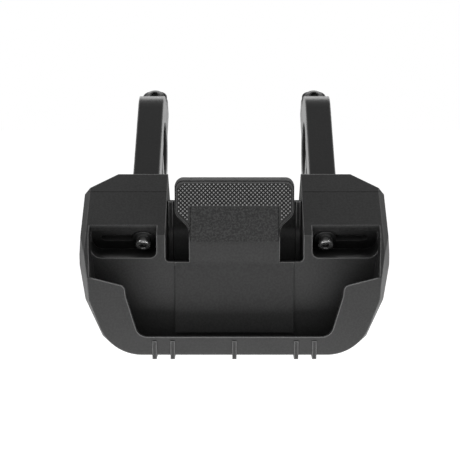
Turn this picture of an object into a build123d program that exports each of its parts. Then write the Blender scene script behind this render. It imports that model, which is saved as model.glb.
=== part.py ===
# Handlebar bag mount: two clamps on a handlebar carry a moulded receiver for the plate of a bag.
# X runs along the handlebar, Y back to the rider and Z up, from the bar axis midway between the clamps.

import os
from math import cos, radians, sin, sqrt, tan

from build123d import *

os.makedirs("parts", exist_ok=True)

# Handlebar and place of the clamps, in mm and degrees
bar_diameter = 31.8
clamp_spacing = 102.8
clamp_travel = 21.0
arm_rise = 42.0

# Clamp ring and its rubber liner
liner_thickness = 2.0
liner_side_setback = 0.5
liner_end_setback = 0.3
ring_wall = 12.1
jaw_wall = 9.1
split_gap = 1.5
crest_flat = 9.0
crest_radius = 21.5

# Arm between the ring and the receiver
arm_width = 15.4
arm_reach = 83.1
beam_depth = 15.0
foot_depth = 19.5
foot_length = 30.0
arm_edge = 0.6

# Hinge of the jaw
hinge_back = 37.0
hinge_rise = 5.0
hinge_eye_radius = 5.5
hinge_pin_radius = 2.0
hinge_pin_clearance = 0.05
ear_width = 4.0
ear_clearance = 0.3
hinge_web_depth = 8.0
front_gap = 4.0

# Clamp bolt behind the ring
bolt_back = 38.0
upper_lug_margin = 6.0
lower_lug_margin = 10.5
lug_rise = 8.0
lug_drop = 13.0
lug_corner = 5.0
bolt_shank_radius = 2.5
bolt_clearance = 0.25
bolt_head_radius = 6.0
bolt_head_height = 3.6
bolt_head_crown = 2.4
bolt_crown_bands = 2
bolt_socket_flats = 4.0
bolt_socket_depth = 2.2
nut_flats = 8.0
nut_thickness = 4.0
nut_clearance = 0.1

# Screw that holds the arm in its slot
screw_rise = 22.7
screw_shank_radius = 2.5
screw_clearance = 0.3
screw_head_radius = 4.25
screw_head_height = 5.0
screw_head_edge = 0.5
screw_socket_flats = 4.0
screw_socket_depth = 2.5
screw_length = 16.0
washer_radius = 6.25
washer_thickness = 1.0
screw_nut_setback = 5.5

# Sleeve blocks of the receiver
sleeve_clearance = 0.4
sleeve_side_clearance = 0.5
seat_wall = 4.0
block_nose = 5.8
inner_wall = 4.65
outer_wall = 2.3
roof_wall = 1.8
sleeve_floor_wall = 3.6
block_length = 45.7
block_lap = 3.0
roof_crease = 13.2
roof_crease_drop = 0.7
corner_cut_length = 10.8
corner_cut_width = 15.4
side_bevel = 3.4
block_flare = 5.3
flare_depth = 17.5

# Recess and slot for the screw in the front of a block
recess_depth = 5.5
slot_end_margin = 7.9
slot_band = 2.6
slot_lip_drop = 12.7
slot_floor_slope = 5.5
slot_outer_corner = 6.0
slot_inner_corner = 3.5
slot_top_corner = 1.5

# Tray and pocket, measured from the mouth, which is the top edge of the pocket wall between the blocks
mouth_drop = 14.9
pocket_lean = 1.0
tray_front = 21.5
tray_height = 47.5
tray_depth = 12.0
lip_half_width = 79.8
side_wall = 1.3
pocket_top_half = 81.3
lip_thickness = 5.9
lip_fall = 12.0
lip_outer_drop = 4.1
lip_shoulder_half = 59.5
lip_shoulder_drop = 9.0
lip_step_inset = 0.6
lip_step_drop = 14.9
lip_floor_inset = 7.1
lip_floor_drop = 37.3
lip_corner = 3.4
lip_floor_corner = 6.5
floor_wall = 3.0
pocket_wall = 3.1
back_side_half = 88.2
back_kink_drop = 24.2
back_kink_inset = 2.9
front_kink_drop = 16.8
front_kink_inset = 0.8
back_low_half = 75.2
back_low_radius = 4.0
front_low_half = 67.5
front_low_radius = 24.5
kink_radius = 5.0
panel_half = 33.3
panel_height = 40.1
panel_proud = 0.5
panel_proud_low = 2.5

# Feet under the lip
foot_places = (-43.6, -33.7, 0.0, 33.7, 43.6)
foot_rib_width = 2.4
foot_rib_proud = 0.6
foot_rib_drop = 2.3
foot_rib_height = 10.2
foot_rib_run = 16.0

# Ribs behind the pocket wall
back_rib_places = (-58.0, -29.0, 0.0, 29.0, 58.0)
back_rib_width = 2.4
core_wall = 2.6
core_top_drop = 9.3

# Cross wall behind the latch
cross_gap = 20.0
cross_wall = 3.5
cross_height = 31.4
shelf_drop = 4.9
shelf_wall = 3.5
pilaster_gap = 0.95
pilaster_width = 2.5
pilaster_depth = 3.0
channel_corner = 2.2

# Latch tongue
root_gap = 0.1
tongue_thickness = 3.5
neck_half = 25.3
neck_height = 19.5
tab_half = 33.0
tab_shoulder = 27.0
tongue_height = 47.2
tab_corner = 4.8
shoulder_round = 6.0
tab_pad = 1.2
tab_edge = 1.0
catch_half = 24.6
catch_low = 12.0
catch_high = 31.0
catch_step = 3.0

# Reach of the cutting shapes, beyond all that they cut, and the sides of a nut
cut_reach = 400.0
hexagon_sides = 6

# Places that follow from the sizes above
bar_radius = bar_diameter / 2
bore_radius = bar_radius + liner_thickness
arm_top = bore_radius + ring_wall
beam_bottom = arm_top - beam_depth
foot_bottom = arm_top - foot_depth
jaw_radius = bore_radius + jaw_wall
clamp_x = clamp_spacing / 2
seat_place = arm_reach + seat_wall
nose_place = seat_place + block_nose
block_end = nose_place - block_length
roof_rise = arm_top + sleeve_clearance + roof_wall
block_bottom = foot_bottom - sleeve_clearance - sleeve_floor_wall
sleeve_inner = clamp_x - arm_width / 2 - sleeve_side_clearance
sleeve_outer = clamp_x + clamp_travel + arm_width / 2 + sleeve_side_clearance
block_inner = sleeve_inner - inner_wall
roof_outer = sleeve_outer + outer_wall
bevel_outer = roof_outer + side_bevel
base_outer = roof_outer + block_flare
flare_low = roof_rise - flare_depth
slot_inner = clamp_x - slot_end_margin
slot_outer = clamp_x + clamp_travel + slot_end_margin
slot_high = roof_rise - slot_band
rise_cos = cos(radians(arm_rise))
rise_sin = sin(radians(arm_rise))
lean_slope = tan(radians(pocket_lean))
crest_y = -nose_place * rise_cos - roof_rise * rise_sin
crest_z = -nose_place * rise_sin + roof_rise * rise_cos
mouth_y = crest_y - mouth_drop * lean_slope
mouth_z = crest_z - mouth_drop
recess_y = crest_y + recess_depth
lip_y = mouth_y - tray_front
back_y = mouth_y + tray_depth
tray_bottom = mouth_z - tray_height
floor_z = tray_bottom + floor_wall
cross_y = mouth_y + cross_gap
pocket_half = lip_half_width - side_wall
lip_top_z = mouth_z - lip_outer_drop
slot_lip_z = crest_z - slot_lip_drop
pocket_side_slope = (pocket_top_half - pocket_half) / (crest_z - lip_top_z)
slot_lip_half = pocket_half + (slot_lip_z - lip_top_z) * pocket_side_slope


def to_arm(shape):
    """Turns a shape made along the Y axis to the slope of the arm."""
    return Rot(arm_rise, 0, 0) * shape


def from_arm(along, rise):
    """Y and Z of a point given along the arm and square to it."""
    return along * rise_cos - rise * rise_sin, along * rise_sin + rise * rise_cos


def side_prism(points, x_low, x_high):
    """A prism along X over an outline of Y and Z."""
    outline = make_face(Polyline(*points, close=True))
    return extrude(Plane.YZ.offset(x_low) * outline, amount=x_high - x_low)


def front_face(points, y):
    """A face across Y over an outline of X and Z."""
    plane = Plane(origin=(0, y, 0), x_dir=(1, 0, 0), z_dir=(0, -1, 0))
    return plane * make_face(Polyline(*points, close=True))


def span_box(x_low, x_high, y_low, y_high, z_low, z_high):
    """A box between two corners."""
    block = Box(x_high - x_low, y_high - y_low, z_high - z_low)
    middle = ((x_low + x_high) / 2, (y_low + y_high) / 2, (z_low + z_high) / 2)
    return Pos(*middle) * block


def mirrored(points):
    """The outline of a right half and its mirror image."""
    return points + [(-x, z) for x, z in reversed(points)]


def rod_x(radius, length, y, z):
    """A round bar along X."""
    return Pos(0, y, z) * Rot(0, 90, 0) * Cylinder(radius, length)


def hexagon_bar(flats, length):
    """A hexagonal bar along Z, standing on the origin."""
    return extrude(RegularPolygon(flats / sqrt(3), hexagon_sides), amount=length)


def wall_y(z):
    """Front of the pocket wall at a height."""
    return mouth_y - (mouth_z - z) * lean_slope


# Clamp arm with the upper half of the ring, made along Y with the bar axis at the origin
bolt_y = bolt_back
upper_lug_end = bolt_back + upper_lug_margin
lower_lug_end = bolt_back + lower_lug_margin
half_split = split_gap / 2
arm_half = arm_width / 2
hinge_y = -hinge_back
hinge_z = hinge_rise
foot_start = foot_length - arm_reach

beam = span_box(-arm_half, arm_half, -arm_reach, crest_flat, beam_bottom, arm_top)
foot = span_box(-arm_half, arm_half, -arm_reach, foot_start, foot_bottom, arm_top)
crest = rod_x(crest_radius, arm_width, crest_flat, arm_top - crest_radius)
crest_back = span_box(-arm_half, arm_half, 0, cut_reach, half_split, cut_reach)
crest_front = span_box(-arm_half, arm_half, -cut_reach, 0, beam_bottom, cut_reach)
upper_lug = span_box(-arm_half, arm_half, 0, upper_lug_end, half_split, lug_rise)
upper_lug = fillet(upper_lug.edges().filter_by(Axis.Z).group_by(Axis.Y)[-1], lug_corner)
arm = beam + foot + (crest & (crest_back + crest_front)) + upper_lug
ear_hull = rod_x(hinge_eye_radius, arm_width, hinge_y, hinge_z) + span_box(
    -arm_half,
    arm_half,
    hinge_y - hinge_eye_radius,
    hinge_y + hinge_eye_radius,
    hinge_z,
    beam_bottom + arm_edge,
)
eye_half = arm_half - ear_width
ear_hull -= span_box(-eye_half, eye_half, -cut_reach, cut_reach, -cut_reach, beam_bottom)
arm += ear_hull
arm -= rod_x(bore_radius, cut_reach, 0, 0)
arm -= rod_x(hinge_pin_radius, cut_reach, hinge_y, hinge_z)
arm -= Pos(0, bolt_y, 0) * Cylinder(bolt_shank_radius + bolt_clearance, cut_reach)
screw_hole = Rot(90, 0, 0) * Cylinder(screw_shank_radius + screw_clearance, cut_reach)
screw_run = span_box(-cut_reach, cut_reach, -cut_reach, -arm_reach + screw_length, -cut_reach, cut_reach)
arm -= (Pos(0, 0, screw_rise) * screw_hole) & screw_run
screw_nut_y = -arm_reach + screw_nut_setback
screw_nut_z = screw_rise + nut_flats / sqrt(3) + nut_clearance
arm -= span_box(
    -nut_flats / 2 - nut_clearance,
    nut_flats / 2 + nut_clearance,
    screw_nut_y - nut_clearance,
    screw_nut_y + nut_thickness + nut_clearance,
    foot_bottom - arm_edge,
    screw_nut_z,
)

# Lower jaw of the ring, with its eye between the ears of the arm
jaw_front_top = beam_bottom - front_gap
jaw_ring = rod_x(jaw_radius, arm_width, 0, 0)
jaw_back = span_box(-arm_half, arm_half, 0, cut_reach, -cut_reach, -half_split)
jaw_front = span_box(-arm_half, arm_half, -cut_reach, 0, -cut_reach, jaw_front_top)
lower_lug = span_box(-arm_half, arm_half, 0, lower_lug_end, -lug_drop, -half_split)
lower_lug = fillet(lower_lug.edges().filter_by(Axis.Z).group_by(Axis.Y)[-1], lug_corner)
web_half = eye_half - ear_clearance
web = span_box(
    -web_half,
    web_half,
    hinge_y,
    -bore_radius,
    hinge_z - hinge_web_depth / 2,
    hinge_z + hinge_web_depth / 2,
)
eye = rod_x(hinge_eye_radius, 2 * web_half, hinge_y, hinge_z)
jaw = (jaw_ring & (jaw_back + jaw_front)) + lower_lug + web + eye
jaw -= rod_x(bore_radius, cut_reach, 0, 0)
jaw -= rod_x(hinge_pin_radius + hinge_pin_clearance, cut_reach, hinge_y, hinge_z)
jaw -= Pos(0, bolt_y, 0) * Cylinder(bolt_shank_radius + bolt_clearance, cut_reach)
nut_low = -lug_drop
nut_pocket = hexagon_bar(nut_flats + 2 * nut_clearance, nut_thickness)
jaw -= Pos(0, bolt_y, nut_low) * nut_pocket

# Hinge pin, bolt and nuts
pin = rod_x(hinge_pin_radius, arm_width - arm_edge, hinge_y, hinge_z)

crown_radius = (bolt_head_radius**2 + bolt_head_crown**2) / (2 * bolt_head_crown)
crown_points = []
for band in range(bolt_crown_bands + 1):
    band_radius = bolt_head_radius * (1 - band / bolt_crown_bands)
    band_drop = crown_radius - sqrt(crown_radius**2 - band_radius**2)
    crown_points.append((band_radius, bolt_head_height - band_drop))
head_outline = make_face(Polyline((0, 0), (bolt_head_radius, 0), *crown_points, close=True))
bolt_head = revolve(Plane.XZ * head_outline, axis=Axis.Z)
bolt_socket = Pos(0, 0, bolt_head_height - bolt_socket_depth) * hexagon_bar(
    bolt_socket_flats, bolt_head_height
)
bolt_length = lug_rise + lug_drop
bolt_shank = Pos(0, 0, -bolt_length / 2) * Cylinder(bolt_shank_radius, bolt_length)
bolt = Pos(0, bolt_y, lug_rise) * (bolt_head - bolt_socket + bolt_shank)

nut_blank = hexagon_bar(nut_flats, nut_thickness)
nut_blank -= Cylinder(bolt_shank_radius, cut_reach)
clamp_nut = Pos(0, bolt_y, nut_low) * nut_blank

# Rubber liners in the two halves of the bore
liner_half = arm_half - liner_side_setback
liner_ring = rod_x(bore_radius, 2 * liner_half, 0, 0) - rod_x(bar_radius, cut_reach, 0, 0)
liner_split = half_split + liner_end_setback
upper_liner = liner_ring & (
    span_box(-arm_half, arm_half, 0, cut_reach, liner_split, cut_reach)
    + span_box(-arm_half, arm_half, -cut_reach, 0, beam_bottom + liner_end_setback, cut_reach)
)
lower_liner = liner_ring & (
    span_box(-arm_half, arm_half, 0, cut_reach, -cut_reach, -liner_split)
    + span_box(-arm_half, arm_half, -cut_reach, 0, -cut_reach, jaw_front_top - liner_end_setback)
)

# Slot screw, its washer and its nut, along the arm
along_arm = Rot(90, 0, 0)
washer = Pos(0, 0, washer_thickness / 2) * Cylinder(washer_radius, washer_thickness)
washer -= Cylinder(screw_shank_radius + screw_clearance, cut_reach)
slot_washer = Pos(0, -seat_place, screw_rise) * along_arm * washer

screw_head = Pos(0, 0, screw_head_height / 2) * Cylinder(screw_head_radius, screw_head_height)
screw_head = chamfer(screw_head.edges().group_by(Axis.Z)[-1], screw_head_edge)
screw_head -= Pos(0, 0, screw_head_height - screw_socket_depth) * hexagon_bar(
    screw_socket_flats, screw_head_height
)
screw_head += Pos(0, 0, -screw_length / 2) * Cylinder(screw_shank_radius, screw_length)
slot_screw = Pos(0, -seat_place - washer_thickness, screw_rise) * along_arm * screw_head

screw_nut = hexagon_bar(nut_flats, nut_thickness) - Cylinder(screw_shank_radius, cut_reach)
screw_nut = Rot(0, 0, 180 / hexagon_sides) * screw_nut
slot_nut = Pos(0, screw_nut_y + nut_thickness, screw_rise) * along_arm * screw_nut

clamp_pieces = {
    "clamp_arm": arm,
    "clamp_jaw": jaw,
    "hinge_pin": pin,
    "clamp_bolt": bolt,
    "clamp_nut": clamp_nut,
    "upper_liner": upper_liner,
    "lower_liner": lower_liner,
    "slot_screw": slot_screw,
    "slot_washer": slot_washer,
    "slot_nut": slot_nut,
}

# Sleeve block on the right: roof and back follow the arm, the front is in line with the pocket wall
lap_z = mouth_z - block_lap
block = side_prism(
    [
        (crest_y, crest_z),
        from_arm(-block_end - roof_crease, roof_rise),
        from_arm(-block_end, roof_rise - roof_crease_drop),
        from_arm(-block_end, block_bottom),
        from_arm(-seat_place, block_bottom),
        (back_y, lap_z),
        (wall_y(lap_z), lap_z),
    ],
    block_inner,
    base_outer,
)
block_section = [
    (roof_outer, roof_rise),
    (bevel_outer, roof_rise - side_bevel),
    (base_outer, flare_low),
    (base_outer, -cut_reach),
]
flare_limit = extrude(front_face(mirrored(block_section), -cut_reach), amount=-2 * cut_reach)
block &= to_arm(flare_limit)
corner_cut = make_face(
    Polyline(
        (roof_outer - corner_cut_width, -block_end),
        (base_outer, -block_end - corner_cut_length * (1 + block_flare / corner_cut_width)),
        (base_outer + block_flare, -block_end),
        close=True,
    )
)
right_block = block - to_arm(Pos(0, 0, -cut_reach / 2) * extrude(corner_cut, amount=cut_reach))

# Room for the screw: a recess in the front of the block, and behind it the seat square to the arm
slot_middle = (slot_inner + slot_outer) / 2
room_face = make_face(
    Polyline(
        (slot_inner, 0),
        (slot_lip_half, 0),
        (pocket_top_half, slot_lip_drop),
        (pocket_top_half, cut_reach),
        (slot_inner, cut_reach),
        close=True,
    )
)
room_face = fillet(room_face.vertices().group_by(Axis.Y)[0].sort_by(Axis.X)[:1], slot_inner_corner)
room_face = fillet(room_face.vertices().group_by(Axis.Y)[0].sort_by(Axis.X)[-1:], slot_outer_corner)
room_plane = Plane(
    origin=(0, wall_y(slot_lip_z), slot_lip_z),
    x_dir=(1, 0, 0),
    z_dir=(0, -cos(radians(slot_floor_slope)), -sin(radians(slot_floor_slope))),
)
room = extrude(room_plane * room_face, amount=tray_front)
room += extrude(room_plane * room_face, amount=-block_length)
seat_face = Pos(slot_middle, slot_high - cut_reach / 2) * Rectangle(slot_outer - slot_inner, cut_reach)
seat_face = fillet(seat_face.vertices().group_by(Axis.Y)[-1], slot_top_corner)
seat_plane = Plane(origin=(0, -seat_place, 0), x_dir=(1, 0, 0), z_dir=(0, -1, 0))
seat_room = room & to_arm(extrude(seat_plane * seat_face, amount=cut_reach))
recess = room & span_box(0, cut_reach, -cut_reach, recess_y, -cut_reach, cut_reach)
shank_slot = SlotCenterToCenter(clamp_travel, 2 * (screw_shank_radius + screw_clearance))
shank_face = seat_plane * Pos(clamp_x + clamp_travel / 2, screw_rise) * shank_slot
shank_room = to_arm(extrude(shank_face, amount=-2 * seat_wall))
sleeve = to_arm(
    span_box(
        sleeve_inner,
        sleeve_outer,
        -arm_reach,
        cut_reach,
        foot_bottom - sleeve_clearance,
        arm_top + sleeve_clearance,
    )
)

# Tray: flared outlines in front and behind, under the line from the lip up to the crest of the blocks
top_z = crest_z + cut_reach


def tray_face(top_half, kink_half, kink_drop, low_half, low_radius, inset, y):
    """Outline of the tray across Y, drawn in by an inset."""
    outline = make_face(
        Polyline(
            *mirrored(
                [
                    (top_half, top_z),
                    (top_half, lip_top_z),
                    (kink_half, mouth_z - kink_drop),
                    (low_half, tray_bottom),
                ]
            ),
            close=True,
        )
    )
    outline = fillet(outline.vertices().group_by(Axis.Y)[1], kink_radius)
    outline = fillet(outline.vertices().group_by(Axis.Y)[0], low_radius)
    if inset:
        outline = offset(outline, -inset)
    plane = Plane(origin=(0, y, 0), x_dir=(1, 0, 0), z_dir=(0, -1, 0))
    return plane * outline


front_kink_half = lip_half_width - front_kink_inset
back_kink_half = back_side_half - back_kink_inset
front_shape = (lip_half_width, front_kink_half, front_kink_drop, front_low_half, front_low_radius)
back_shape = (back_side_half, back_kink_half, back_kink_drop, back_low_half, back_low_radius)
back_face = tray_face(*back_shape, 0, back_y)
hull = loft([tray_face(*front_shape, 0, lip_y), back_face], ruled=True)
right_block &= hull + extrude(back_face, amount=-cut_reach)
tray = hull & to_arm(flare_limit)
tray &= side_prism(
    [
        (lip_y, tray_bottom),
        (lip_y, lip_top_z),
        (crest_y, crest_z),
        (recess_y, crest_z + recess_depth * tan(radians(arm_rise))),
        (recess_y, mouth_z),
        (back_y, mouth_z),
        (back_y, tray_bottom),
    ],
    -cut_reach,
    cut_reach,
)
lip_back = lip_y + lip_thickness
pocket_side = side_prism(
    [
        (crest_y, crest_z),
        (wall_y(floor_z), floor_z),
        (lip_back, floor_z),
        (lip_back, crest_z),
    ],
    -cut_reach,
    cut_reach,
)
upper_sides = [(pocket_top_half, top_z), (pocket_top_half, crest_z), (pocket_half, lip_top_z)]
pocket = extrude(tray_face(*front_shape, side_wall, lip_y), amount=-2 * tray_front)
pocket += extrude(front_face(mirrored(upper_sides), lip_y), amount=-2 * tray_front)
pocket &= pocket_side

# Opening in the lip, falling away behind its front edge
opening = upper_sides + [
    (lip_shoulder_half, mouth_z - lip_shoulder_drop),
    (lip_shoulder_half - lip_step_inset, mouth_z - lip_step_drop),
    (lip_shoulder_half - lip_floor_inset, mouth_z - lip_floor_drop),
]
opening_face = make_face(Polyline(*mirrored(opening), close=True))
opening_corners = opening_face.vertices().group_by(Axis.Y)
opening_face = fillet(opening_corners[1] + opening_corners[2], lip_corner)
opening_face = fillet(opening_face.vertices().group_by(Axis.Y)[0], lip_floor_corner)
opening_plane = Plane(origin=(0, lip_y, 0), x_dir=(1, 0, 0), z_dir=(0, -1, 0))
opening_face = opening_plane * opening_face
fall = (0, cos(radians(lip_fall)), -sin(radians(lip_fall)))
fall_forward = (0, -cos(radians(lip_fall)), sin(radians(lip_fall)))
lip_cut = extrude(opening_face, amount=lip_thickness / cos(radians(lip_fall)) + side_wall, dir=fall)
lip_cut += extrude(opening_face, amount=lip_thickness, dir=fall_forward)
crest_limit = side_prism(
    [
        (lip_y - cut_reach, -cut_reach),
        (lip_back, -cut_reach),
        (lip_back, mouth_z),
        (crest_y, crest_z),
        (crest_y, crest_z + cut_reach),
        (lip_y - cut_reach, crest_z + cut_reach),
    ],
    -cut_reach,
    cut_reach,
)
lip_cut &= crest_limit

# Room for the latch between the blocks, and the cross wall behind it
wall_back = mouth_y + pocket_wall
shelf_z = mouth_z - shelf_drop
channel_middle = mouth_z + cut_reach / 2
channel_face = Pos(0, channel_middle) * Rectangle(2 * block_inner, cut_reach)
channel_face = fillet(channel_face.vertices().group_by(Axis.Y)[0], channel_corner)
channel_plane = Plane(origin=(0, wall_back, 0), x_dir=(1, 0, 0), z_dir=(0, -1, 0))
latch_room = extrude(channel_plane * channel_face, amount=cut_reach)
latch_room += span_box(-block_inner, block_inner, wall_back, cross_y, shelf_z, cut_reach)
cross_half = block_inner + inner_wall / 2
cross = span_box(
    -cross_half,
    cross_half,
    cross_y,
    cross_y + cross_wall,
    shelf_z - shelf_wall,
    mouth_z + cross_height,
)
cross += span_box(
    -block_inner,
    block_inner,
    back_y - pocket_wall,
    cross_y + cross_wall,
    shelf_z - shelf_wall,
    shelf_z,
)
for side in (-1, 1):
    pilaster_middle = side * (block_inner - pilaster_gap - pilaster_width / 2)
    cross += span_box(
        pilaster_middle - pilaster_width / 2,
        pilaster_middle + pilaster_width / 2,
        cross_y - pilaster_depth,
        cross_y + cross_wall,
        shelf_z - shelf_wall,
        mouth_z + cross_height,
    )

# Hollow behind the pocket wall, with ribs across it
core_top = mouth_z - core_top_drop
core_low = floor_z
core_side = side_prism(
    [
        (back_y + core_wall, core_top),
        (wall_y(core_top) + pocket_wall, core_top),
        (wall_y(core_low) + pocket_wall, core_low),
        (back_y + core_wall, core_low),
    ],
    -cut_reach,
    cut_reach,
)


def core_face(top_half, kink_half, kink_drop, low_half, y):
    """Outline of the hollow across Y, one wall inside the tray."""
    half_outline = [
        (top_half - core_wall, top_z),
        (top_half - core_wall, lip_top_z),
        (kink_half - core_wall, mouth_z - kink_drop),
        (low_half - core_wall, tray_bottom),
    ]
    return front_face(mirrored(half_outline), y)


core_back = core_face(*back_shape[:-1], back_y)
core = loft([core_face(*front_shape[:-1], lip_y), core_back], ruled=True)
core += extrude(core_back, amount=-core_wall)
core &= core_side
for place in back_rib_places:
    rib_low = place - back_rib_width / 2
    rib_high = place + back_rib_width / 2
    core -= span_box(rib_low, rib_high, -cut_reach, cut_reach, -cut_reach, cut_reach)

# Feet under the front lip
feet = []
for place in foot_places:
    feet.append(
        side_prism(
            [
                (lip_y - foot_rib_proud, tray_bottom - foot_rib_drop + foot_rib_height),
                (lip_y - foot_rib_proud, tray_bottom - foot_rib_drop),
                (lip_y + foot_rib_run, tray_bottom - foot_rib_drop),
                (lip_y + foot_rib_run, tray_bottom + foot_rib_drop),
                (lip_y + foot_rib_proud, tray_bottom + foot_rib_drop),
                (lip_y + foot_rib_proud, tray_bottom - foot_rib_drop + foot_rib_height),
            ],
            place - foot_rib_width / 2,
            place + foot_rib_width / 2,
        )
    )

# Receiver body, one moulding
lean_plane = Plane(
    origin=(0, mouth_y, mouth_z),
    x_dir=(1, 0, 0),
    z_dir=(0, -cos(radians(pocket_lean)), sin(radians(pocket_lean))),
)
panel_plane = Plane(
    origin=lean_plane.origin + lean_plane.x_dir * -panel_half,
    x_dir=lean_plane.y_dir,
    z_dir=lean_plane.x_dir,
)
panel_profile = Polyline(
    (0, -pocket_wall / 2),
    (0, panel_proud),
    (-panel_height, panel_proud_low),
    (-panel_height, -pocket_wall / 2),
    close=True,
)
panel = extrude(panel_plane * make_face(panel_profile), amount=2 * panel_half)

body = tray - pocket - lip_cut - core
body += right_block
body += mirror(right_block, about=Plane.YZ)
body -= latch_room
for room_part in (sleeve, recess, seat_room, shank_room):
    body -= room_part
    body -= mirror(room_part, about=Plane.YZ)
body += cross
body += panel
for rib in feet:
    body += rib
export_step(body, "parts/receiver_body.step")

# Latch tongue: leaf, push tab and catch
tongue_line = Polyline(
    (neck_half, root_gap),
    (neck_half, neck_height),
    (tab_half, tab_shoulder),
    (tab_half, tongue_height),
    (-tab_half, tongue_height),
    (-tab_half, tab_shoulder),
    (-neck_half, neck_height),
    (-neck_half, root_gap),
    close=True,
)
tongue_face = make_face(tongue_line)
tongue_face = fillet(tongue_face.vertices().group_by(Axis.Y)[-1], tab_corner)
shoulders = tongue_face.vertices().group_by(Axis.Y)[1:3]
tongue_face = fillet(shoulders[0] + shoulders[1], shoulder_round)
leaf_plane = lean_plane.offset(panel_proud)
tongue = extrude(leaf_plane * tongue_face, amount=-tongue_thickness)
pad_limit = Pos(0, (neck_height + tongue_height) / 2) * Rectangle(
    2 * tab_half, tongue_height - neck_height
)
pad = extrude(leaf_plane * (tongue_face & pad_limit), amount=tab_pad)
pad_rim = pad.faces().sort_by(Axis.Y)[0].edges()
pad_rim = pad_rim.filter_by_position(Axis.Z, mouth_z + neck_height + tab_edge, cut_reach)
tongue += chamfer(pad_rim, tab_edge)
catch_profile = Polyline(
    (catch_low, 0),
    (catch_low, catch_step),
    (catch_high, tab_pad),
    (catch_high, 0),
    close=True,
)
catch_plane = Plane(
    origin=leaf_plane.origin + leaf_plane.x_dir * -catch_half,
    x_dir=leaf_plane.y_dir,
    z_dir=leaf_plane.x_dir,
)
tongue += extrude(catch_plane * make_face(catch_profile), amount=2 * catch_half)
export_step(tongue, "parts/latch_tongue.step")

# The two clamps
for name, piece in clamp_pieces.items():
    turned = to_arm(piece)
    export_step(Pos(clamp_x, 0, 0) * turned, f"parts/{name}_right.step")
    export_step(Pos(-clamp_x, 0, 0) * turned, f"parts/{name}_left.step")
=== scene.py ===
from math import cos, radians, sin

import bmesh
import bpy
from mathutils import Matrix, Vector


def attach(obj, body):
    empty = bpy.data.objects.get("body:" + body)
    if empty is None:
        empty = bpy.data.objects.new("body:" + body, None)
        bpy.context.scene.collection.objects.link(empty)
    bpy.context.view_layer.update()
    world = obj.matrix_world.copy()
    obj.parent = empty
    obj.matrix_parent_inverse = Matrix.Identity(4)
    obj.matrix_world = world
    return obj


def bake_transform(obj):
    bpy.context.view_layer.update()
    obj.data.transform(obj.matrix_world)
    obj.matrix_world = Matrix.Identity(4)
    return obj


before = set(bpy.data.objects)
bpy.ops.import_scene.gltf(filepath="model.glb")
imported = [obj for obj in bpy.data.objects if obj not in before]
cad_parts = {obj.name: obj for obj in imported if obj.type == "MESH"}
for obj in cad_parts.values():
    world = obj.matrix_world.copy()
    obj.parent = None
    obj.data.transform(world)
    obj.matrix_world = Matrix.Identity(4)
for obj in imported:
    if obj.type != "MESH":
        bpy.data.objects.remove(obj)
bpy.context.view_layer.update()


# Receiver body: the tray, pocket and two sleeve blocks that carry the bag and the clamp arms.
# One injection moulding in black glass-filled nylon, with a fine spark-eroded grain that is duller
# above the slots and along the crease of the roofs; its outer edges carry a painted highlight in grey.
class Field:
    """A shader value that Python arithmetic can work on."""

    def __init__(self, finish, socket):
        self.finish = finish
        self.socket = socket

    def work(self, operation, first, second):
        sockets = {0: first, 1: second}
        return self.finish.node("ShaderNodeMath", {"operation": operation}, sockets)["Value"]

    def __add__(self, other):
        return self.work("ADD", self, other)

    __radd__ = __add__

    def __sub__(self, other):
        return self.work("SUBTRACT", self, other)

    def __rsub__(self, other):
        return self.work("SUBTRACT", other, self)

    def __mul__(self, other):
        return self.work("MULTIPLY", self, other)

    __rmul__ = __mul__

    def __abs__(self):
        return self.work("ABSOLUTE", self, 0)


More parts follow.
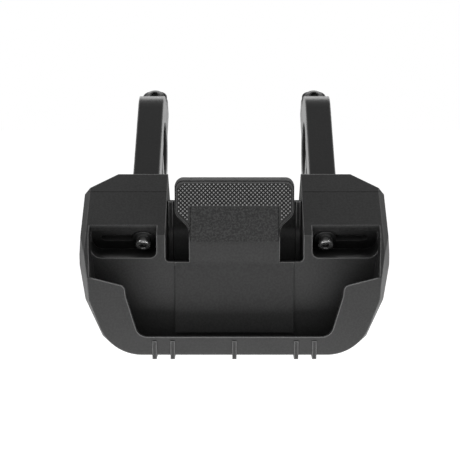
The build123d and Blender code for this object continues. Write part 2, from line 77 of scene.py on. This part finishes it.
class Finish:
    """The shader nodes of a material or of the studio's surround."""

    def __init__(self, owner):
        owner.use_nodes = True
        self.material = owner
        self.tree = owner.node_tree
        self.shader = next(n for n in self.tree.nodes if n.type in ("BSDF_PRINCIPLED", "BACKGROUND"))

    def feed(self, socket, value):
        """Links a field to a socket, or sets the socket to a constant."""
        if isinstance(value, Field):
            self.tree.links.new(value.socket, socket)
        else:
            socket.default_value = value

    def node(self, kind, settings=None, sockets=None):
        """Adds a node with its settings and what feeds its sockets, and returns its outputs."""
        made = self.tree.nodes.new(kind)
        for key, value in (settings or {}).items():
            setattr(made, key, value)
        for key, value in (sockets or {}).items():
            if isinstance(key, str):
                key = next(i for i, s in enumerate(made.inputs) if s.enabled and s.name == key)
            self.feed(made.inputs[key], value)
        return {s.name: Field(self, s) for s in made.outputs if s.enabled}

    def set(self, **values):
        """Feeds the sockets of the finish's own shader."""
        for key, value in values.items():
            self.feed(self.shader.inputs[key.replace("_", " ")], value)

    def place(self):
        """The point's place in the frame, as X, Y and Z."""
        spot = self.node("ShaderNodeTexCoord")["Object"]
        return self.node("ShaderNodeSeparateXYZ", {}, {0: spot})

    def noise(self, scale, detail, roughness=0.5):
        """Soft random patches from 0 to 1; scale is about how many there are in a metre."""
        spot = self.node("ShaderNodeTexCoord")["Object"]
        sockets = {"Vector": spot, "Scale": scale, "Detail": detail, "Roughness": roughness}
        return self.node("ShaderNodeTexNoise", {}, sockets)["Fac"]

    def ramp(self, value, low, high):
        """0 at low and 1 at high, whichever of them is larger."""
        sockets = {"Value": value, "From Min": low, "From Max": high}
        return self.node("ShaderNodeMapRange", {"interpolation_type": "SMOOTHSTEP"}, sockets)["Result"]

    def between(self, value, low, high, fade):
        """1 from low to high, fading out on either side."""
        return self.ramp(value, low - fade, low) * self.ramp(value, high + fade, high)

    def blend(self, share, low, high):
        """A mix of two colours."""
        sockets = {"Factor": share, "A": low, "B": high}
        return self.node("ShaderNodeMix", {"data_type": "RGBA"}, sockets)["Result"]

    def rounded(self, radius):
        """The normal with every edge rounded, and how near the point is to an outer edge."""
        flat, sharp = 0.96, 0.62
        soft = self.node("ShaderNodeBevel", {"samples": 6}, {"Radius": radius})["Normal"]
        settings = {"inside": True, "only_local": True, "samples": 8}
        bulk = self.node("ShaderNodeAmbientOcclusion", settings, {"Distance": 1.5 * radius})["AO"]
        return soft, self.ramp(bulk, flat, sharp)

    def bump(self, height, normal):
        """The normal over a relief whose height is in metres."""
        sockets = {"Height": height, "Distance": 1, "Normal": normal}
        return self.node("ShaderNodeBump", {}, sockets)["Normal"]


def new_finish(name):
    """Starts an empty finish."""
    return Finish(bpy.data.materials.new(name))


def grey(level):
    """A neutral colour."""
    return (level, level, level, 1)


def cloudy_black(finish, dark, light):
    """Nylon's own colour: flow patches and the finer flecks of the glass."""
    cloud = finish.noise(38, 3)
    fleck = finish.ramp(finish.noise(900, 2), 0.35, 0.65)
    return finish.blend(cloud * 0.4 + fleck * 0.6, grey(dark), grey(light))


def grain(finish, depth):
    """The fine relief that the eroded mould leaves."""
    return finish.noise(2400, 2, 0.6) * depth


def moulded_nylon(finish, skin, wear_and_highlight_grey, roughness, edge_radius, wear_and_highlight_share, relief):
    """A moulded skin of some colour; its outer edges are painted toward a lighter grey, as a painted
    highlight and in places as wear, as far as the share argument says.
    """
    cloud = finish.noise(60, 3)
    fleck = finish.noise(1200, 2)
    soft, near_edge = finish.rounded(edge_radius)
    finish.set(
        Base_Color=finish.blend(near_edge * wear_and_highlight_share, skin, grey(wear_and_highlight_grey)),
        Roughness=roughness + (cloud - 0.5) * 0.1 + (fleck - 0.5) * 0.06,
        Normal=finish.bump(relief, soft),
    )


def dress(node, finish):
    """Gives a CAD node its finish."""
    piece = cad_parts[node]
    piece.data.materials.clear()
    piece.data.materials.append(finish.material)


block_inner, block_foot = 39e-3, -40e-3
slot_inner, slot_outer = 43.8e-3, 81e-3
slot_front, slot_back, slot_top = -88e-3, -68e-3, -34e-3
pocket_front, pocket_back, pocket_top = -98e-3, -86e-3, -52e-3
brow_front, brow_top, brow_dull, brow_foot = -85e-3, -33.3e-3, -35.5e-3, -37e-3
crease_front, crease_back, crease_foot, crease_top = -68e-3, -66e-3, -17.2e-3, -16.8e-3

body_finish = new_finish("body_nylon")
spot = body_finish.place()
off_middle = abs(spot["X"])
in_slots = body_finish.between(spot["Y"], slot_front, slot_back, 2e-3)
in_slots = in_slots * body_finish.ramp(spot["Z"], slot_top, slot_top - 4e-3)
in_pocket = body_finish.between(spot["Y"], pocket_front, pocket_back, 4e-3)
in_pocket = in_pocket * body_finish.ramp(spot["Z"], pocket_top, pocket_top - 4e-3)
inner_side = body_finish.ramp(off_middle, block_inner + 0.6e-3, block_inner)
inner_side = inner_side * body_finish.ramp(spot["Z"], block_foot, block_foot + 4e-3)
over_slots = body_finish.between(off_middle, slot_inner, slot_outer, 0.3e-3)
over_slots = over_slots * body_finish.ramp(spot["Y"], brow_front + 0.3e-3, brow_front)
over_slots = over_slots * body_finish.ramp(spot["Z"], brow_foot - 0.2e-3, brow_foot)
over_slots = over_slots * body_finish.ramp(spot["Z"], brow_top, brow_dull)
roof_crease = body_finish.between(spot["Y"], crease_front, crease_back, 0.2e-3)
roof_crease = roof_crease * body_finish.between(spot["Z"], crease_foot, crease_top, 0.1e-3)
# Painted highlight: the outer edges are painted a lighter grey, kept out of the slots, the pocket and
# the wall above the slots.
moulded_nylon(
    body_finish,
    skin=cloudy_black(body_finish, 0.001, 0.012),
    wear_and_highlight_grey=0.12,
    roughness=0.54 + inner_side * 0.36 + over_slots * 0.46 + roof_crease * 0.36,
    edge_radius=0.5e-3,
    wear_and_highlight_share=(1 - in_slots) * (1 - in_pocket) * (1 - over_slots),
    relief=grain(body_finish, 4e-5),
)
dress("receiver_body", body_finish)


# Latch tongue: a sprung leaf with a catch plate on its neck and a push tab at its top end.
# The same nylon, moulded in one with the pocket wall; the plate is eroded coarser than the rest,
# with a dull line down each side.
lean = radians(1)
mouth_y, mouth_z = -90.84e-3, -53.13e-3
tab_half, tab_top, tab_shoulder, tab_front = 33e-3, 47.2e-3, 27e-3, 1.7e-3
neck_half, neck_top, neck_foot = 25.3e-3, 19.5e-3, 14e-3
plate_half, plate_foot, plate_top = 24.6e-3, 12e-3, 31e-3
along_tongue = Matrix(
    (
        (1, 0, 0, 0),
        (0, sin(lean), -cos(lean), mouth_y),
        (0, cos(lean), sin(lean), mouth_z),
        (0, 0, 0, 1),
    )
)

tongue_finish = new_finish("tongue_nylon")
spot = tongue_finish.place()
off_middle = abs(spot["X"])
plate_rows = tongue_finish.between(spot["Z"] - mouth_z, plate_foot, plate_top, 0.1e-3)
side_line = tongue_finish.between(off_middle, plate_half - 0.5e-3, plate_half + 0.1e-3, 0.1e-3)
side_line = side_line * plate_rows
on_plate = plate_rows * tongue_finish.ramp(off_middle, plate_half, plate_half - 0.1e-3)
coarse = tongue_finish.ramp(tongue_finish.noise(1000, 2, 0.6), 0.38, 0.66)
plate_skin = tongue_finish.blend(coarse, grey(0), grey(0.022))
# Painted highlight: the edges of the neck and the tab are painted a lighter grey; the plate's edges
# are left dark.
moulded_nylon(
    tongue_finish,
    skin=tongue_finish.blend(on_plate, cloudy_black(tongue_finish, 0.003, 0.016), plate_skin),
    wear_and_highlight_grey=0.12,
    roughness=0.54 + on_plate * 0.14 + side_line * 0.3,
    edge_radius=0.5e-3,
    wear_and_highlight_share=tongue_finish.ramp(off_middle, neck_half - 0.5e-3, neck_half - 0.2e-3),
    relief=grain(tongue_finish, 3e-5) + coarse * on_plate * 8e-5,
)
dress("latch_tongue", tongue_finish)


# Rim of the push tab: a raised edge that falls back at the top, and a band inside it.
# Moulded with the tab, but painted lighter than it as a painted highlight; the top of the edge
# is painted lighter still, partly as a painted highlight and partly as thumb wear in patches.
rim_foot, rim_front, rim_round = 0.6e-3, 2.3e-3, 0.13e-3
edge_width, gap_width, band_width = 0.4e-3, 0.3e-3, 0.6e-3
edge_more, gap_more, band_more = 0.9e-3, 0.2e-3, 0.5e-3
top_corner, shoulder_corner, corner_segments = 4.8e-3, 2.6e-3, 6
fall_back, run_out, run_out_height = 0.7, 3e-3, 0.1e-3


def finish_mesh(name, mesh, finish):
    """Turns a bmesh into a piece of the mount."""
    bmesh.ops.recalc_face_normals(mesh, faces=mesh.faces)
    data = bpy.data.meshes.new(name)
    mesh.to_mesh(data)
    mesh.free()
    data.materials.append(finish.material)
    piece = bpy.data.objects.new(name, data)
    bpy.context.scene.collection.objects.link(piece)
    return piece


def round_off(mesh, geom, affect, radius, segments):
    """Rounds some edges or corners of a mesh, and shades the new faces smooth."""
    made = bmesh.ops.bevel(
        mesh,
        geom=geom,
        offset=radius,
        offset_type="OFFSET",
        affect=affect,
        segments=segments,
        profile=0.5,
        material=-1,
    )
    for face in made["faces"]:
        face.smooth = True


def raise_ring(mesh, ring, height):
    """Raises a flat ring of faces, runs it out at the neck, and returns the edges round its top."""
    raised = bmesh.ops.extrude_face_region(mesh, geom=ring)["geom"]
    crown = [g for g in raised if isinstance(g, bmesh.types.BMVert)]
    bmesh.ops.translate(mesh, verts=crown, vec=(0, 0, height))
    for vert in crown:
        vert.co.z -= fall_back * max(0, vert.co.y - (tab_top - edge_width - edge_more))
        if vert.co.y < neck_foot + run_out:
            vert.co.z = rim_foot + run_out_height
    tops = {g for g in raised if isinstance(g, bmesh.types.BMFace)}
    return [e for e in mesh.edges if len(set(e.link_faces) & tops) == 1]


rim_finish = new_finish("rim_nylon")
over_top = rim_finish.place()["Z"] - (mouth_z + tab_top)
top_highlight_and_wear = rim_finish.ramp(over_top, -1.5e-3, -0.9e-3)
top_highlight_and_wear = top_highlight_and_wear * rim_finish.ramp(rim_finish.noise(300, 2), 0.1, 0.5)
# Painted highlight: the rim's nylon is painted lighter than the tab's, and its top lighter still in
# patches.
moulded_nylon(
    rim_finish,
    skin=rim_finish.blend(top_highlight_and_wear, cloudy_black(rim_finish, 0.022, 0.04), grey(0.085)),
    wear_and_highlight_grey=0.09,
    roughness=0.5,
    edge_radius=0.3e-3,
    wear_and_highlight_share=top_highlight_and_wear,
    relief=grain(rim_finish, 2e-5),
)

rim = bmesh.new()
half_tab = [
    (neck_half, neck_foot),
    (neck_half, neck_top),
    (tab_half, tab_shoulder),
    (tab_half, tab_top),
]
whole_tab = half_tab + [(-x, h) for x, h in reversed(half_tab)]
corners = [rim.verts.new((x, h, rim_foot)) for x, h in whole_tab]
rim.faces.new(corners)
round_off(rim, corners[3:5], "VERTICES", top_corner, corner_segments)
round_off(rim, corners[1:3] + corners[5:7], "VERTICES", shoulder_corner, corner_segments)
field = rim.faces[:]
rings = []
for width, more in ((edge_width, edge_more), (gap_width, gap_more), (band_width, band_more)):
    ring = bmesh.ops.inset_individual(rim, faces=field, thickness=width, use_even_offset=True)
    rings.append(ring["faces"])
    top_run = [v for v in field[0].verts if v.co.y > (tab_shoulder + tab_top) / 2]
    bmesh.ops.translate(rim, verts=top_run, vec=(0, -more, 0))
raised_edge, gap, band = rings
bmesh.ops.delete(rim, geom=field + gap, context="FACES")
for ring in (raised_edge, band):
    round_off(rim, raise_ring(rim, ring, rim_front - rim_foot), "EDGES", rim_round, 2)
bmesh.ops.transform(rim, matrix=along_tongue, verts=rim.verts)
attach(finish_mesh("tab_rim", rim, rim_finish), "latch")


# Knurl of the push tab: rows of small blunt points that give the thumb a hold.
# Cut into the mould and formed with the tab; the tips are painted light as a painted highlight
# and the ground between them dark as painted shade.
knurl_pitch, knurl_height = 2.28e-3, 0.5e-3
knurl_finish = new_finish("knurl_nylon")
spot = knurl_finish.place()
proud = (spot["Y"] - mouth_y) * -cos(lean) + (spot["Z"] - mouth_z) * sin(lean)
lit_tip = knurl_finish.ramp(proud, tab_front + 0.45 * knurl_height, tab_front + knurl_height)
knurl_finish.set(
    Base_Color=knurl_finish.blend(lit_tip, grey(0.004), grey(0.24)),
    Roughness=0.46 - lit_tip * 0.14,
)

knurl = bmesh.new()
rim_reach = edge_width + gap_width + band_width + knurl_pitch / 4
rim_more = edge_more + gap_more + band_more
corner_middle = Vector((tab_half - top_corner, tab_top - rim_more - top_corner))
shoulder_rise = (tab_shoulder - neck_top) / (tab_half - neck_half)
rows = int((tab_top - neck_top) / (knurl_pitch / 2))
columns = int(tab_half / knurl_pitch) + 1
for row in range(rows):
    h = tab_top - rim_more - rim_reach - row * knurl_pitch / 2
    for column in range(-columns, columns + 1):
        x = (column + 0.5 * (row % 2)) * knurl_pitch
        past_side = abs(x) > tab_half - rim_reach
        shoulder = tab_shoulder + (abs(x) - tab_half) * shoulder_rise
        past_shoulder = h < shoulder + 1.3 * rim_reach
        over_plate = h < plate_top + 0.2e-3 and abs(x) < plate_half + knurl_pitch / 2
        from_corner = Vector((abs(x), h)) - corner_middle
        past_corner = min(from_corner) > 0 and from_corner.length > top_corner - rim_reach
        if past_side or past_shoulder or over_plate or past_corner:
            continue
        point = Matrix.Translation((x, h, tab_front + knurl_height / 2))
        bmesh.ops.create_cone(
            knurl,
            segments=4,
            radius1=knurl_pitch / 2,
            radius2=knurl_pitch / 7,
            depth=knurl_height,
            cap_ends=True,
            matrix=along_tongue @ point,
        )
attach(finish_mesh("tab_knurl", knurl, knurl_finish), "latch")


# Bending root of the tongue: where the pocket wall runs on into the leaf.
# A thin skin of the same nylon over the joint, where the leaf bends when the tab is pressed;
# the skin itself stays still.
root_half, root_reach, root_front, root_skin, root_swell = 25e-3, 1.3e-3, 0.52e-3, 0.1e-3, 0.05
root_finish = new_finish("root_nylon")
moulded_nylon(
    root_finish,
    skin=cloudy_black(root_finish, 0.003, 0.015),
    wear_and_highlight_grey=0.01,
    roughness=0.54,
    edge_radius=0.02e-3,
    wear_and_highlight_share=root_finish.noise(120, 2),
    relief=grain(root_finish, 3e-5),
)

root = bmesh.new()
bmesh.ops.create_grid(root, x_segments=8, y_segments=8, size=1)
bmesh.ops.scale(root, vec=(root_half, root_reach, 1), verts=root.verts)
for vert in root.verts:
    vert.co.z = root_front + max(0, -vert.co.y) * root_swell
bmesh.ops.solidify(root, geom=root.faces[:], thickness=root_skin)
bmesh.ops.transform(root, matrix=along_tongue, verts=root.verts)
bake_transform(finish_mesh("tongue_root", root, root_finish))


# Clamp arms and jaws: the split rings that hold the handlebar, and the arms that carry them.
# Moulded in the same nylon in a smoother mould, so they are glossier than the body;
# each jaw is pinned to its arm in front and drawn up by a bolt behind.
def dress_pairs(names, finish):
    """Gives the left and the right piece of each name their finish."""
    for name in names:
        for side in ("left", "right"):
            dress(name + "_" + side, finish)


arm_finish = new_finish("arm_nylon")
# Painted highlight: outer edges are painted a lighter grey in patches, partly standing for wear.
moulded_nylon(
    arm_finish,
    skin=cloudy_black(arm_finish, 0.001, 0.006),
    wear_and_highlight_grey=0.12,
    roughness=0.31,
    edge_radius=0.7e-3,
    wear_and_highlight_share=arm_finish.ramp(arm_finish.noise(30, 2), 0, 0.5),
    relief=grain(arm_finish, 1.2e-5),
)
dress_pairs(["clamp_arm", "clamp_jaw"], arm_finish)


# Slot screws: cap screws that lock each arm in its block, turned through the slot in front.
# Hardened steel, blackened and oiled; the black skin is worn through at the rim by the key,
# and the rim is painted a light metallic grey, partly for that wear and partly as a painted highlight
# for the glints.
def blackened_steel(finish, dark, light, wear_and_highlight_grey, metallic, roughness):
    """Steel under a black skin; its edges are painted a lighter metallic grey, partly as wear to the
    metal and partly as a painted highlight.
    """
    film = finish.noise(260, 3)
    marks = finish.noise(3000, 2)
    soft, near_edge = finish.rounded(1.1e-3)
    skin = finish.blend(film, grey(dark), grey(light))
    finish.set(
        Base_Color=finish.blend(near_edge, skin, grey(wear_and_highlight_grey)),
        Metallic=metallic + near_edge * (0.9 - metallic),
        Roughness=roughness + film * 0.06 + marks * 0.03,
        Normal=finish.bump(marks * 4e-6, soft),
    )


screw_finish = new_finish("screw_steel")
blackened_steel(screw_finish, dark=0.03, light=0.07, wear_and_highlight_grey=0.38, metallic=0.6, roughness=0.1)
dress_pairs(["slot_screw"], screw_finish)


# Clamp bolts and washers: the round-head bolts that pull each jaw up to its arm behind the bar,
# and the washers under the slot screws. The same steel with its black skin still whole; its edges
# are painted slightly lighter and metallic as a painted highlight.
bolt_finish = new_finish("bolt_steel")
blackened_steel(bolt_finish, dark=0.004, light=0.01, wear_and_highlight_grey=0.05, metallic=0.1, roughness=0.36)
dress_pairs(["clamp_bolt", "slot_washer"], bolt_finish)


# Hinge pins and captive nuts: the pins of the jaws, and the nuts of the bolts and screws.
# Drawn and pressed steel, bright zinc plated; pressed into the nylon and hidden but for their ends.
zinc_finish = new_finish("zinc_plate")
bloom = zinc_finish.noise(420, 3)
zinc_finish.set(
    Base_Color=zinc_finish.blend(bloom, (0.5, 0.5, 0.52, 1), (0.66, 0.66, 0.67, 1)),
    Metallic=1,
    Roughness=0.28 + bloom * 0.16,
)
dress_pairs(["hinge_pin", "clamp_nut", "slot_nut"], zinc_finish)


# Liners: half-rings in the bore of each clamp that grip the bar and spare its finish.
# Moulded black rubber, glued to the nylon; its dull skin carries a faint grey bloom,
# and its edges are painted a little lighter as a painted highlight.
liner_finish = new_finish("liner_rubber")
bloom = liner_finish.noise(150, 4)
soft, near_edge = liner_finish.rounded(0.3e-3)
skin = liner_finish.blend(bloom, grey(0.003), grey(0.01))
liner_finish.set(
    Base_Color=liner_finish.blend(near_edge, skin, grey(0.03)),
    Roughness=0.84 + bloom * 0.14,
    Normal=liner_finish.bump(liner_finish.noise(1800, 2) * 3e-5, soft),
)
dress_pairs(["upper_liner", "lower_liner"], liner_finish)


# Floor: a white board well under the mount, which hangs clear of it as it does on a bar.
# It keeps the mount's shadow, and shows white to the camera and in reflections.
floor_half, floor_middle = 3, (0, 2.1, -0.42)
floor_mesh = bmesh.new()
bmesh.ops.create_grid(floor_mesh, x_segments=1, y_segments=1, size=floor_half)
bmesh.ops.translate(floor_mesh, verts=floor_mesh.verts, vec=floor_middle)
floor_data = bpy.data.meshes.new("floor")
floor_mesh.to_mesh(floor_data)
floor_mesh.free()
floor_finish = new_finish("floor_board")
rays = floor_finish.node("ShaderNodeLightPath")
seen = rays["Is Camera Ray"] + rays["Is Glossy Ray"] + rays["Is Transmission Ray"]
floor_finish.set(
    Base_Color=grey(0.86),
    Roughness=0.9,
    Emission_Color=floor_finish.blend(seen, grey(0), grey(0.6)),
    Emission_Strength=1,
)
floor_data.materials.append(floor_finish.material)
floor = bpy.data.objects.new("floor", floor_data)
scene = bpy.context.scene
scene.collection.objects.link(floor)


# Room and lamps: a white backdrop behind the mount in a dimmer room.
# A long soft lamp low in front lights the pocket, one high behind picks out the upper edges,
# two overhead light the blocks, and two small ones in front glint on the screws.
dim_room = 0.52
mount_middle = Vector((0, -0.09, -0.06))
scene.world = bpy.data.worlds.new("studio")
surround = Finish(scene.world)
gaze = surround.node("ShaderNodeTexCoord")["Generated"]
behind = surround.node("ShaderNodeSeparateXYZ", {}, {0: gaze})["Y"]
room = dim_room + surround.ramp(behind, 0.86, 0.96) * (1 - dim_room)
in_view = surround.node("ShaderNodeLightPath")["Is Camera Ray"]
surround.set(Color=grey(1), Strength=room + in_view * (1 - room))


def soft_lamp(name, place, width, height, power):
    """A flat lamp that faces the mount."""
    data = bpy.data.lights.new(name, "AREA")
    data.shape = "RECTANGLE"
    data.size = width
    data.size_y = height
    data.energy = power
    lamp = bpy.data.objects.new(name, data)
    scene.collection.objects.link(lamp)
    lamp.location = place
    to_mount = mount_middle - lamp.location
    lamp.rotation_euler = to_mount.to_track_quat("-Z", "Y").to_euler()


soft_lamp("low_lamp", (0, -0.42, -0.35), width=0.7, height=0.26, power=2.15)
soft_lamp("high_lamp", (0, 0.6, 0.45), width=0.9, height=0.3, power=1.6)
for side in (-1, 1):
    soft_lamp("block_lamp", (side * 0.8, 0.1, 0.7), width=0.4, height=0.4, power=3.5)
    soft_lamp("screw_lamp", (side * 0.65, -0.73, 0.36), width=0.12, height=0.12, power=0.9)


# Camera: stands in front of the mount and looks ten degrees down, as the photograph's did.
# The shift sets the mount where it is in the photograph's frame.
look_down = radians(10)
eye = bpy.data.cameras.new("photo_eye")
eye.lens = 85.85
eye.sensor_width = 36
eye.shift_x = -0.0096
eye.clip_start = 0.01
camera = bpy.data.objects.new("photo_eye", eye)
scene.collection.objects.link(camera)
camera.location = (0, -0.6909, 0.0707)
camera.rotation_euler = (radians(90) - look_down, 0, 0)
scene.camera = camera
scene.view_settings.view_transform = "Standard"
